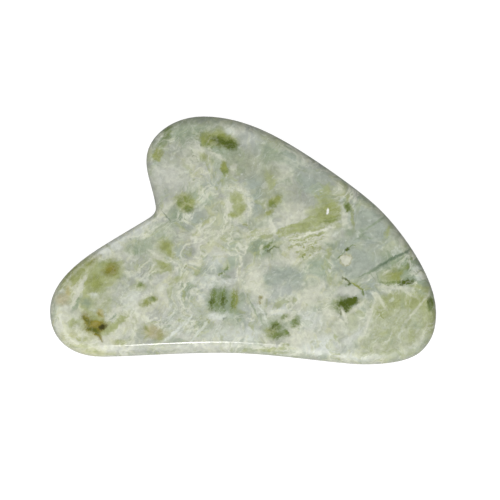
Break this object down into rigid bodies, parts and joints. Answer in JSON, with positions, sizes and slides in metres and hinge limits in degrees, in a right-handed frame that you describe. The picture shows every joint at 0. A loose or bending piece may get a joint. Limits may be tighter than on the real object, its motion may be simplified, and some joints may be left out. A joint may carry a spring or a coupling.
{
  "type": "gua sha scraper",
  "caption": "Flat hand-held massage board of polished pale green jade, with a long scraping edge, rounded lobes, a notch between them and rims ground round.",
  "frame": {"origin": "below the middle of the bounding box, on the flat face that the board rests on", "axes": "+X along the board's length towards its broad end, +Y from the long scraping edge towards the upper lobe, +Z out of the upper face"},
  "size_m": [0.085, 0.0546, 0.0062],
  "materials": {
    "polished_jade": "polished"
  },
  "bodies": {
    "root": {"scraper_board": "polished_jade"}
  },
  "joints": []
}
